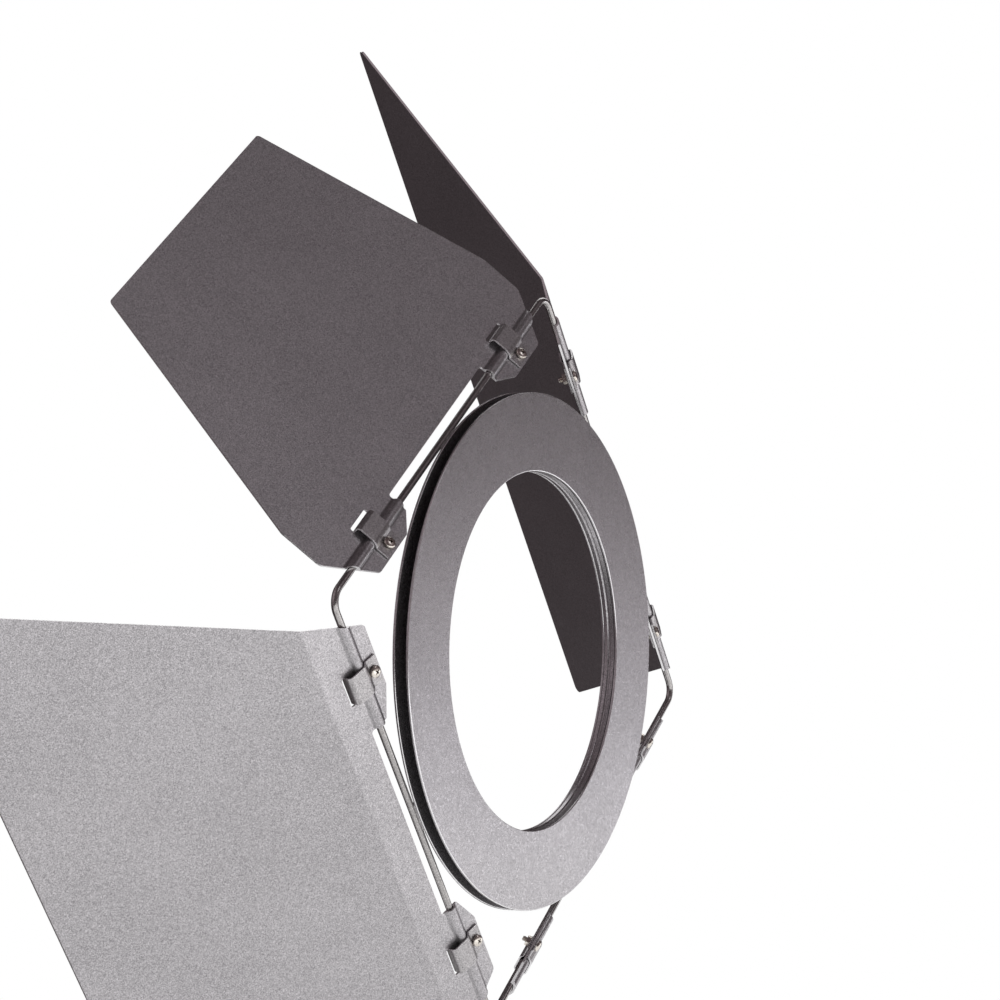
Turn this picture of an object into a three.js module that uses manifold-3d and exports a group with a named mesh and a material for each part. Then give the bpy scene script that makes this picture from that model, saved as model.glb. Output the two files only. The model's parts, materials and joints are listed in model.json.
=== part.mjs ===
// Four-leaf barn door attachment for a round stage lamp.
// Millimetres. Origin: centre of the ring on its rear face. +Y points back into the lamp,
// light leaves towards -Y, and +Z is up. Two flat rings and a collar carry a square of round
// rod, and each of the four leaves turns on one side of that square, held by two bent clamps.

import * as THREE from 'three';
import * as BufferGeometryUtils from 'three/addons/utils/BufferGeometryUtils.js';
import Module from 'manifold-3d';

const wasm = await Module();
wasm.setup();

// ---- Driving dimensions -------------------------------------------------------------------

const GAP = 0.3; // clearance between neighbouring pieces

const RING_RADIUS = 147.5;
const OPENING_RADIUS = 102.5;
const RING_SHEET = 1.5;
const RING_GROOVE = 6.8; // space between the two rings, for the lamp's clips
const COLLAR_WALL = 1.5;
const RING_SEGMENTS = 72;

const ROD_RADIUS = 2;
const ROD_OFFSET = 147.5; // lamp axis to the centreline of each side of the rod square
const ROD_BEND = 9.5; // centreline radius of the rod's corners
const ROD_TURN = 8.9; // degrees that the square is turned from standing on a corner
const ROD_SIDES = 10;
const ROD_JOINT = 0.4; // the rod's two ends meet with this gap under a weld
const WELD = { halfLength: 9, halfWidth: 5, height: 2.4 };

const LEAF_SHEET = 1.2;
const CLAMP_SHEET = 1;
const RIDGE_INNER = ROD_RADIUS + GAP; // pressed half-round groove that the rod lies in
const RIDGE_OUTER = RIDGE_INNER + LEAF_SHEET;

const TAB_TIP = -13.5; // the hinge tabs reach this far past the rod, towards the ring
const SCREW_ACROSS = -8; // the screws stand this far past the rod, towards the ring
const CLAMP_WIDTH = 17;
const CLAMP_REACH = 10.8; // outer face of the clamp's fold, outward from the rod
const CLAMP_END = -12.4;
const CLAMP_FOLD = 1.2; // inner radius of the fold
const CLAMP_RAMP = { from: -2.2, to: -4.2, shift: 0.35 }; // where the inner arm closes on the leaf
const SLOT = { along: CLAMP_WIDTH + 1.2, from: 9.2, to: 13.0 };

const SCREW = { shank: 1.5, head: 3.4, headHeight: 2.2, crown: 1.1, end: -7, chamfer: 0.4 };
const RECESS = { span: 3.4, width: 0.8, depth: 1.2 };
const NUT = { acrossFlats: 5.5, height: 2.4 };
const SCREW_HOLE = SCREW.shank + GAP;

// Leaves, in the flat: tilts are the angles between the hinge strip and the ring's plane.
const NARROW = {
  crease: 22,
  bend: 0,
  reach: 185.5,
  screwAlong: 91.8, // from the leaf's middle to each clamp
  notch: 63, // half width of the cut-out between the hinge tabs
  tabFoot: 76.5,
  tabHead: 110.5,
  shoulder: 135,
  shoulderStart: 14.5,
  shoulderEnd: 40.5,
  tipHalfWidth: 87.5,
};
const WIDE = {
  crease: 26,
  bend: 25, // degrees that the main panel is bent forwards at the crease
  reach: 201.5,
  screwAlong: 94.5,
  notch: 64.5,
  tabFoot: 82,
  tabHead: 120.8,
  shoulder: 145,
  shoulderStart: 26,
  shoulderEnd: 26,
  tipHalfWidth: 254,
};
const TILT = { upperNarrow: 37, upperWide: 27.6, lowerNarrow: 37, lowerWide: 16.5 };
const CORNER_CUT = 2.5; // how far from a leaf's corner its rounding starts
const OVERRUN = 5; // how far a cutting shape runs past what it cuts
const NOTCH_EDGE = 6.7; // the cut-out's outer edge, outward from the rod
const NOTCH_FOOT = -5.6; // where the tab's chamfer starts

// ---- Levels along the lamp axis -----------------------------------------------------------

const REAR_FACE = 0;
const GROOVE_REAR = REAR_FACE - RING_SHEET;
const GROOVE_FRONT = GROOVE_REAR - RING_GROOVE;
const FRONT_FACE = GROOVE_FRONT - RING_SHEET;
const ROD_LEVEL = FRONT_FACE - GAP - ROD_RADIUS;

// ---- Finishes -----------------------------------------------------------------------------

const ringPaint = () => new THREE.MeshStandardMaterial({ color: 0x9a9a9c, roughness: 0.5, metalness: 0.55 });
const leafPaint = () => new THREE.MeshStandardMaterial({ color: 0x8f8e92, roughness: 0.5, metalness: 0.55 });
const clampPaint = () => new THREE.MeshStandardMaterial({ color: 0x86838a, roughness: 0.5, metalness: 0.5 });
const rodSteel = () => new THREE.MeshStandardMaterial({ color: 0x77767a, roughness: 0.35, metalness: 0.8 });
const weldSteel = () => new THREE.MeshStandardMaterial({ color: 0x85827f, roughness: 0.6, metalness: 0.6 });
const zincPlate = () => new THREE.MeshStandardMaterial({ color: 0xb9b6ac, roughness: 0.3, metalness: 0.9 });

// ---- Solid helpers ------------------------------------------------------------------------

function toSolid(geometry) {
  const bare = geometry.index ? geometry.toNonIndexed() : geometry.clone();
  bare.deleteAttribute('normal');
  bare.deleteAttribute('uv');
  const merged = BufferGeometryUtils.mergeVertices(bare, 1e-4);
  return new wasm.Manifold(new wasm.Mesh({
    numProp: 3,
    vertProperties: new Float32Array(merged.attributes.position.array),
    triVerts: new Uint32Array(merged.index.array),
  }));
}

function toGeometry(solid) {
  const mesh = solid.getMesh();
  const geometry = new THREE.BufferGeometry();
  geometry.setAttribute('position', new THREE.BufferAttribute(new Float32Array(mesh.vertProperties), 3));
  geometry.setIndex(new THREE.BufferAttribute(new Uint32Array(mesh.triVerts), 1));
  geometry.computeVertexNormals();
  return geometry;
}

// Cuts every geometry in cutters away from the base geometry.
function cut(base, cutters) {
  let solid = toSolid(base);
  for (const cutter of cutters) {
    solid = solid.subtract(toSolid(cutter));
  }
  return toGeometry(solid);
}

function named(name, geometry, material) {
  const mesh = new THREE.Mesh(geometry, material);
  mesh.name = name;
  return mesh;
}

// Extrudes an outline drawn in a leaf's own plane (along, across) between two heights.
function plate(shape, low, high) {
  const settings = { depth: high - low, bevelEnabled: false, curveSegments: 4 };
  const geometry = new THREE.ExtrudeGeometry(shape, settings);
  geometry.translate(0, 0, low);
  return geometry;
}

// Extrudes a section drawn as (across, height) along a leaf's hinge line.
function strip(section, from, to) {
  const settings = { depth: to - from, bevelEnabled: false, curveSegments: 5 };
  const geometry = new THREE.ExtrudeGeometry(section, settings);
  geometry.translate(0, 0, from);
  const turn = new THREE.Matrix4().makeBasis(
    new THREE.Vector3(0, 1, 0),
    new THREE.Vector3(0, 0, 1),
    new THREE.Vector3(1, 0, 0),
  );
  geometry.applyMatrix4(turn);
  return geometry;
}

// A round pin along a leaf's height direction.
function pin(radius, low, high, along, across) {
  const geometry = new THREE.CylinderGeometry(radius, radius, high - low, 12);
  geometry.rotateX(Math.PI / 2);
  geometry.translate(along, across, (low + high) / 2);
  return geometry;
}

// A cutter for the screw hole at a place along the hinge line.
function screwHole(along) {
  return pin(SCREW_HOLE, -OVERRUN, OVERRUN, along, SCREW_ACROSS);
}

// ---- Ring ---------------------------------------------------------------------------------

// A flat ring about the lamp axis between two levels, as a lathe profile that closes on itself.
function flatRing(inner, outer, front, rear) {
  const profile = [
    new THREE.Vector2(inner, front),
    new THREE.Vector2(outer, front),
    new THREE.Vector2(outer, rear),
    new THREE.Vector2(inner, rear),
    new THREE.Vector2(inner, front),
  ];
  return new THREE.LatheGeometry(profile, RING_SEGMENTS);
}

function makeRing() {
  const rear = flatRing(OPENING_RADIUS, RING_RADIUS, GROOVE_REAR, REAR_FACE);
  const front = flatRing(OPENING_RADIUS, RING_RADIUS, FRONT_FACE, GROOVE_FRONT);
  const collar = flatRing(OPENING_RADIUS, OPENING_RADIUS + COLLAR_WALL, GROOVE_FRONT + GAP, GROOVE_REAR - GAP);
  return [
    named('rear_flange', rear, ringPaint()),
    named('front_flange', front, ringPaint()),
    named('inner_collar', collar, ringPaint()),
  ];
}

// ---- Hinge rod ----------------------------------------------------------------------------

// One turn round the square. Its straights take one step each and its corners several.
class RodPath extends THREE.Curve {
  constructor() {
    super();
    const points = [];
    const straight = ROD_OFFSET - ROD_BEND;
    points.push([ROD_OFFSET, ROD_JOINT / 2]);
    for (let corner = 0; corner < 4; corner += 1) {
      const quarter = corner * Math.PI / 2;
      const middle = new THREE.Vector2(straight, straight).rotateAround(new THREE.Vector2(), quarter);
      for (let step = 0; step <= RodPath.CORNER_STEPS; step += 1) {
        const angle = (corner + step / RodPath.CORNER_STEPS) * Math.PI / 2;
        points.push([middle.x + ROD_BEND * Math.cos(angle), middle.y + ROD_BEND * Math.sin(angle)]);
      }
    }
    points.push([ROD_OFFSET, -ROD_JOINT / 2]);
    const turn = THREE.MathUtils.degToRad(45 + ROD_TURN);
    this.stops = points.map(([x, z]) => new THREE.Vector3(
      x * Math.cos(turn) - z * Math.sin(turn),
      ROD_LEVEL,
      x * Math.sin(turn) + z * Math.cos(turn),
    ));
  }

  get steps() {
    return this.stops.length - 1;
  }

  getPoint(t) {
    const place = Math.min(t * this.steps, this.steps - 1e-9);
    const index = Math.floor(place);
    return this.stops[index].clone().lerp(this.stops[index + 1], place - index);
  }

  getPointAt(t) {
    return this.getPoint(t);
  }

  getTangentAt(t) {
    const index = Math.round(t * this.steps);
    const before = this.stops[Math.max(index - 1, 0)];
    const here = this.stops[index];
    const after = this.stops[Math.min(index + 1, this.steps)];
    const arriving = here.clone().sub(before).normalize();
    const leaving = after.clone().sub(here).normalize();
    return arriving.add(leaving).normalize();
  }
}
RodPath.CORNER_STEPS = 5;

function makeRod() {
  const section = new THREE.Shape();
  for (let side = 0; side < ROD_SIDES; side += 1) {
    const angle = (side + 0.5) * 2 * Math.PI / ROD_SIDES;
    const x = ROD_RADIUS * Math.cos(angle);
    const y = ROD_RADIUS * Math.sin(angle);
    if (side === 0) {
      section.moveTo(x, y);
    } else {
      section.lineTo(x, y);
    }
  }
  section.closePath();
  const path = new RodPath();
  const rod = new THREE.ExtrudeGeometry(section, { steps: path.steps, extrudePath: path, bevelEnabled: false });
  return named('hinge_rod', rod, rodSteel());
}

// A short weld bead at the middle of each side of the square, along the rod's inner flank.
function makeWelds() {
  const base = FRONT_FACE - GAP;
  const block = 2 * (WELD.halfLength + OVERRUN);
  const welds = [];
  for (let side = 0; side < 4; side += 1) {
    const mound = new THREE.SphereGeometry(1, 16, 8);
    mound.scale(WELD.halfWidth, WELD.height, WELD.halfLength);
    mound.translate(ROD_OFFSET, base, 0);
    const behind = new THREE.BoxGeometry(block, block, block);
    behind.translate(ROD_OFFSET, base + block / 2, 0);
    const outside = new THREE.BoxGeometry(block, block, block);
    outside.translate(ROD_OFFSET + block / 2, base, 0);
    const channel = new THREE.CylinderGeometry(ROD_RADIUS + GAP, ROD_RADIUS + GAP, block, 16);
    channel.rotateX(Math.PI / 2);
    channel.translate(ROD_OFFSET, ROD_LEVEL, 0);
    const weld = cut(mound, [behind, outside, channel]);
    weld.rotateY(-THREE.MathUtils.degToRad(45 + ROD_TURN + side * 90));
    welds.push(named(`rod_weld_${side + 1}`, weld, weldSteel()));
  }
  return welds;
}

// ---- Leaves -------------------------------------------------------------------------------

// How far a place on the flat blank reaches across once the panel beyond the crease is bent.
function folded(kind, across) {
  if (across <= kind.crease) {
    return across;
  }
  return kind.crease + (across - kind.crease) * Math.cos(THREE.MathUtils.degToRad(kind.bend));
}

// A closed outline through the given corners, each one rounded off.
function roundedOutline(corners) {
  const shape = new THREE.Shape();
  corners.forEach((corner, index) => {
    const before = corners[(index + corners.length - 1) % corners.length];
    const after = corners[(index + 1) % corners.length];
    const arrive = before.clone().sub(corner).setLength(CORNER_CUT).add(corner);
    const leave = after.clone().sub(corner).setLength(CORNER_CUT).add(corner);
    if (index === 0) {
      shape.moveTo(arrive.x, arrive.y);
    } else {
      shape.lineTo(arrive.x, arrive.y);
    }
    shape.quadraticCurveTo(corner.x, corner.y, leave.x, leave.y);
  });
  shape.closePath();
  return shape;
}

function leafOutline(kind) {
  const half = [
    [kind.notch, NOTCH_EDGE],
    [kind.notch, NOTCH_FOOT],
    [kind.tabFoot, TAB_TIP],
    [kind.tabHead, TAB_TIP],
    [kind.shoulder, kind.shoulderStart],
    [kind.tipHalfWidth, kind.reach],
  ];
  if (kind.shoulderEnd > kind.shoulderStart) {
    half.splice(5, 0, [kind.shoulder, kind.shoulderEnd]);
  }
  const right = half.map(([along, across]) => new THREE.Vector2(along, folded(kind, across)));
  const left = right.map((point) => new THREE.Vector2(-point.x, point.y)).reverse();
  return roundedOutline([...right, ...left]);
}

// The sheet's section across the hinge: tab, pressed ridge, hinge strip and bent main panel.
function leafSection(kind) {
  const half = LEAF_SHEET / 2;
  const bend = THREE.MathUtils.degToRad(kind.bend);
  const mitre = half * Math.tan(bend / 2);
  const panel = kind.reach + OVERRUN - kind.crease;
  const end = new THREE.Vector2(kind.crease + panel * Math.cos(bend), -panel * Math.sin(bend));
  const lean = new THREE.Vector2(Math.sin(bend), Math.cos(bend)).multiplyScalar(half);
  const outer = Math.asin(half / RIDGE_OUTER);
  const inner = Math.asin(half / RIDGE_INNER);
  const section = new THREE.Shape();
  section.moveTo(TAB_TIP - OVERRUN, -half);
  section.absarc(0, 0, RIDGE_INNER, Math.PI + inner, -inner, true);
  if (kind.bend > 0) {
    section.lineTo(kind.crease - mitre, -half);
  }
  section.lineTo(end.x - lean.x, end.y - lean.y);
  section.lineTo(end.x + lean.x, end.y + lean.y);
  if (kind.bend > 0) {
    section.lineTo(kind.crease + mitre, half);
  }
  section.absarc(0, 0, RIDGE_OUTER, outer, Math.PI - outer, false);
  section.lineTo(TAB_TIP - OVERRUN, half);
  section.closePath();
  return section;
}

function makeLeaf(kind) {
  const widest = Math.max(kind.shoulder, kind.tipHalfWidth) + OVERRUN;
  const sheet = toSolid(strip(leafSection(kind), -widest, widest));
  const blank = toSolid(plate(leafOutline(kind), -kind.reach, RIDGE_OUTER + OVERRUN));
  let leaf = sheet.intersect(blank);
  for (const side of [-1, 1]) {
    const slot = new THREE.BoxGeometry(SLOT.along, SLOT.to - SLOT.from, 2 * OVERRUN);
    slot.translate(side * kind.screwAlong, (SLOT.from + SLOT.to) / 2, 0);
    leaf = leaf.subtract(toSolid(slot));
    leaf = leaf.subtract(toSolid(screwHole(side * kind.screwAlong)));
  }
  return toGeometry(leaf);
}

// A strap folded through the leaf's slot: its outer arm passes over the ridge and its inner
// arm under the rod, and the screw draws both ends together.
function clampSection() {
  const flat = LEAF_SHEET / 2 + GAP; // each arm lies this far from the leaf's middle plane
  const over = RIDGE_OUTER + GAP;
  const under = ROD_RADIUS + GAP;
  const innerRamp = over * Math.SQRT2; // 45 degree ramp that just clears the ridge
  const outerRamp = (over + CLAMP_SHEET) * Math.SQRT2;
  const crown = 3 * Math.PI / 4; // the arm hugs the ridge from its top down to the ramp
  const foldOuter = CLAMP_FOLD + CLAMP_SHEET;
  const foldPlace = CLAMP_REACH - foldOuter;
  const section = new THREE.Shape();
  section.moveTo(CLAMP_END, flat);
  section.lineTo(flat - innerRamp, flat);
  section.absarc(0, 0, over, crown, Math.PI / 2, true);
  section.absarc(foldPlace, over - CLAMP_FOLD, CLAMP_FOLD, Math.PI / 2, 0, true);
  section.absarc(foldPlace, -under + CLAMP_FOLD, CLAMP_FOLD, 0, -Math.PI / 2, true);
  section.lineTo(CLAMP_RAMP.from, -under);
  section.lineTo(CLAMP_RAMP.to, -flat);
  section.lineTo(CLAMP_END, -flat);
  section.lineTo(CLAMP_END, -flat - CLAMP_SHEET);
  section.lineTo(CLAMP_RAMP.to + CLAMP_RAMP.shift, -flat - CLAMP_SHEET);
  section.lineTo(CLAMP_RAMP.from + CLAMP_RAMP.shift, -under - CLAMP_SHEET);
  section.absarc(foldPlace, -under - CLAMP_SHEET + foldOuter, foldOuter, -Math.PI / 2, 0, false);
  section.absarc(foldPlace, over + CLAMP_SHEET - foldOuter, foldOuter, 0, Math.PI / 2, false);
  section.absarc(0, 0, over + CLAMP_SHEET, Math.PI / 2, crown, false);
  section.lineTo(flat + CLAMP_SHEET - outerRamp, flat + CLAMP_SHEET);
  section.lineTo(CLAMP_END, flat + CLAMP_SHEET);
  section.closePath();
  return section;
}

function makeClamp(along) {
  const strap = strip(clampSection(), along - CLAMP_WIDTH / 2, along + CLAMP_WIDTH / 2);
  return cut(strap, [screwHole(along)]);
}

// Pan-head machine screw with a cross recess, standing on the clamp's outer arm.
function makeScrew(along) {
  const seat = LEAF_SHEET / 2 + 2 * GAP + CLAMP_SHEET;
  const top = seat + SCREW.headHeight;
  const crown = new THREE.EllipseCurve(0, top - SCREW.crown, SCREW.head, SCREW.crown, 0, Math.PI / 2);
  const profile = [
    new THREE.Vector2(0, SCREW.end),
    new THREE.Vector2(SCREW.shank - SCREW.chamfer, SCREW.end),
    new THREE.Vector2(SCREW.shank, SCREW.end + SCREW.chamfer),
    new THREE.Vector2(SCREW.shank, seat),
    new THREE.Vector2(SCREW.head, seat),
    ...crown.getPoints(3).slice(0, -1),
    new THREE.Vector2(0, top),
  ];
  const body = new THREE.LatheGeometry(profile, 12);
  body.rotateX(Math.PI / 2);
  body.translate(along, SCREW_ACROSS, 0);
  const cutters = [];
  for (const quarter of [0, 1]) {
    const bar = new THREE.BoxGeometry(RECESS.span, RECESS.width, 2 * RECESS.depth);
    bar.rotateZ(Math.PI / 4 + quarter * Math.PI / 2);
    bar.translate(along, SCREW_ACROSS, top);
    cutters.push(bar);
  }
  return cut(body, cutters);
}

// Plain hexagon nut under the clamp's inner arm.
function makeNut(along) {
  const top = -(LEAF_SHEET / 2 + 2 * GAP + CLAMP_SHEET);
  const corner = NUT.acrossFlats / Math.sqrt(3);
  const hexagon = new THREE.Shape();
  for (let side = 0; side < 6; side += 1) {
    const angle = side * Math.PI / 3;
    const x = along + corner * Math.cos(angle);
    const y = SCREW_ACROSS + corner * Math.sin(angle);
    if (side === 0) {
      hexagon.moveTo(x, y);
    } else {
      hexagon.lineTo(x, y);
    }
  }
  hexagon.closePath();
  const bore = new THREE.Path();
  bore.absarc(along, SCREW_ACROSS, SCREW_HOLE, 0, 2 * Math.PI, true);
  hexagon.holes.push(bore);
  return plate(hexagon, top - NUT.height, top);
}

// A leaf with its hardware, as a group standing on its side of the rod square.
function makeLeafAssembly(name, kind, tiltAngle, sideAngle) {
  const a = THREE.MathUtils.degToRad(sideAngle);
  const tilt = THREE.MathUtils.degToRad(tiltAngle);
  const away = new THREE.Vector3(Math.cos(a), 0, Math.sin(a));
  const along = new THREE.Vector3(-Math.sin(a), 0, Math.cos(a));
  const back = new THREE.Vector3(0, 1, 0);
  const outward = away.clone().multiplyScalar(Math.cos(tilt)).addScaledVector(back, -Math.sin(tilt));
  const height = away.clone().multiplyScalar(Math.sin(tilt)).addScaledVector(back, Math.cos(tilt));
  const group = new THREE.Group();
  group.setRotationFromMatrix(new THREE.Matrix4().makeBasis(along, outward, height));
  group.position.copy(away).multiplyScalar(ROD_OFFSET).addScaledVector(back, ROD_LEVEL);
  group.add(named(name, makeLeaf(kind), leafPaint()));
  for (const [index, side] of [-1, 1].entries()) {
    const place = side * kind.screwAlong;
    group.add(named(`${name}_clamp_${index + 1}`, makeClamp(place), clampPaint()));
    group.add(named(`${name}_screw_${index + 1}`, makeScrew(place), zincPlate()));
    group.add(named(`${name}_nut_${index + 1}`, makeNut(place), zincPlate()));
  }
  return group;
}

// ---- Assembly -----------------------------------------------------------------------------

const group = new THREE.Group();
group.add(...makeRing(), makeRod(), ...makeWelds());

const firstSide = 45 + ROD_TURN;
group.add(makeLeafAssembly('upper_narrow_leaf', NARROW, TILT.upperNarrow, firstSide));
group.add(makeLeafAssembly('upper_wide_leaf', WIDE, TILT.upperWide, firstSide + 90));
group.add(makeLeafAssembly('lower_narrow_leaf', NARROW, TILT.lowerNarrow, firstSide + 180));
group.add(makeLeafAssembly('lower_wide_leaf', WIDE, TILT.lowerWide, firstSide + 270));

export default group;
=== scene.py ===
"""Visual model of a four-leaf barn door for a round stage lamp.

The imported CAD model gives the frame: bodies, joint axes and the box of every node. This script
builds each visible piece again in fine detail around that frame and dresses it in painted or
plated metal. Lengths are metres; sizes given in millimetres pass through mm().
"""

import json
import logging
import math
from collections.abc import Callable, Sequence
from dataclasses import dataclass, field
from enum import Enum

import bmesh
import bpy
from mathutils import Matrix, Vector


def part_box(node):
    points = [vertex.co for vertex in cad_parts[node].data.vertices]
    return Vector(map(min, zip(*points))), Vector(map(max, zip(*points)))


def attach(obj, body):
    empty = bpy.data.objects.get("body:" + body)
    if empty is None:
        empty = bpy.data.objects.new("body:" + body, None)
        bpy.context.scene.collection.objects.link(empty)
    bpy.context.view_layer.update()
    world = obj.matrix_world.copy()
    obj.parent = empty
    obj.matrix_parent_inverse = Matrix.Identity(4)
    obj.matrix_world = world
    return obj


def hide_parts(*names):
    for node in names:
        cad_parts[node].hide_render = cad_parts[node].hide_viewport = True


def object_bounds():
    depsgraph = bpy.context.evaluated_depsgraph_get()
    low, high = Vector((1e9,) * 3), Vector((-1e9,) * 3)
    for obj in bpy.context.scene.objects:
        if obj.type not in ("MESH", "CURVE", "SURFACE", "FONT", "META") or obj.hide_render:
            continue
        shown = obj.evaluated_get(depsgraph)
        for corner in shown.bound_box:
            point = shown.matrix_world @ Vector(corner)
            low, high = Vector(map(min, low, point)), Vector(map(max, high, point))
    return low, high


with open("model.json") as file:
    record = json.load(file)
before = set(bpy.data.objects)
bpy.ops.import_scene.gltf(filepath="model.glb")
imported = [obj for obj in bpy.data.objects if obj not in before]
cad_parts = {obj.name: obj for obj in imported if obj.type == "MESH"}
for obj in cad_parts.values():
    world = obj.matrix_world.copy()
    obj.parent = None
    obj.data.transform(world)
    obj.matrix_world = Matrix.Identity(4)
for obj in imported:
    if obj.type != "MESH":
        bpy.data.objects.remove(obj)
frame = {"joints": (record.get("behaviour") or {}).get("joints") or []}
CAD_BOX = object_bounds()

LOG = logging.getLogger("barn_door")
AXLE = Vector((0.0, 1.0, 0.0))  # the lamp's axis, pointing back into the lamp
SHARP = 32.0  # degrees; an edge that turns further than this is a real corner
NEAR_AXIS = 0.02  # a turned profile starts this far from its axis, in millimetres

Point = tuple[float, float, float]
Flat = tuple[float, float]
Colour = tuple[float, float, float]


def mm(value: float) -> float:
    """Turns millimetres into metres."""
    return value * 0.001


# ---- Drawing ------------------------------------------------------------------------------


def arc(centre: Flat, radius: float, start: float, end: float, steps: int) -> list[Flat]:
    """Points of a circular arc.

    Args:
        centre: Centre of the arc.
        radius: Radius of the arc.
        start: First angle in degrees.
        end: Last angle in degrees.
        steps: Number of straight pieces.

    Returns:
        The points from start to end, both included.
    """
    angles = [math.radians(start + (end - start) * step / steps) for step in range(steps + 1)]
    return [(centre[0] + radius * math.cos(a), centre[1] + radius * math.sin(a)) for a in angles]


def rounded(
    corners: Sequence[Flat], radii: float | Sequence[float], steps: int = 4, pitch: float = 0.28
) -> list[Flat]:
    """A closed outline with every corner rounded to its radius.

    Args:
        corners: The outline's sharp corners in order.
        radii: One radius for all corners, or one for each.
        steps: Most straight pieces in one rounding.
        pitch: Shortest straight piece, so that small roundings have fewer.

    Returns:
        The points of the rounded outline.
    """
    sizes = [radii] * len(corners) if isinstance(radii, (int, float)) else list(radii)
    points: list[Flat] = []
    for index, corner in enumerate(corners):
        here = Vector(corner)
        before = (Vector(corners[index - 1]) - here).normalized()
        after = (Vector(corners[(index + 1) % len(corners)]) - here).normalized()
        half = before.angle(after) / 2
        if sizes[index] <= 0 or half > math.radians(88):
            points.append((here.x, here.y))
            continue
        middle = here + (before + after).normalized() * (sizes[index] / math.sin(half))
        first = here + before * (sizes[index] / math.tan(half)) - middle
        last = here + after * (sizes[index] / math.tan(half)) - middle
        turn = first.angle_signed(last)
        count = min(steps, max(2, round(abs(turn) * sizes[index] / pitch)))
        for step in range(count + 1):
            spoke = Matrix.Rotation(-turn * step / count, 2) @ first
            points.append((middle.x + spoke.x, middle.y + spoke.y))
    return points


# ---- Bench --------------------------------------------------------------------------------


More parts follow.
